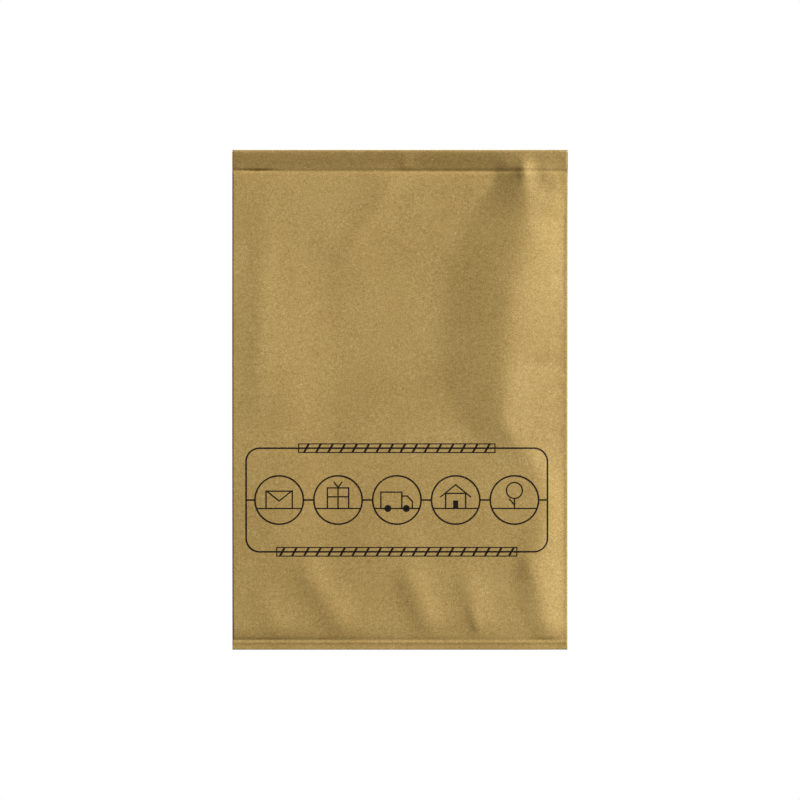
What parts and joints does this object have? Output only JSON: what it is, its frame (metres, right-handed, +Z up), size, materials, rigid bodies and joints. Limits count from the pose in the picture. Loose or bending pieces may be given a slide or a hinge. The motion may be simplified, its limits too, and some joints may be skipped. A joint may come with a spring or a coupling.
{
  "type": "padded envelope",
  "caption": "Flat kraft paper mailing envelope with a loose bubble film lining, a folded flap with a peel-off adhesive strip, and a printed front.",
  "frame": {"origin": "on the surface the envelope lies on, under the middle of its outline", "axes": "+X across the width towards the right of the printed front, +Y along the length towards the folded flap, +Z up out of the printed front"},
  "size_m": [0.153, 0.228, 0.0112],
  "materials": {
    "kraft_paper": "smooth machine-finished brown kraft paper with a soft sheen",
    "bubble_film": "clear soft polyethylene film",
    "adhesive": "tacky hot-melt adhesive",
    "liner_film": "smooth coated release film",
    "printing_ink": "matt dark brown printing ink"
  },
  "bodies": {
    "root": {"paper_envelope": "kraft_paper", "bubble_lining": "bubble_film", "adhesive_strip": "adhesive", "release_liner": "liner_film", "front_print": "printing_ink"}
  },
  "joints": []
}
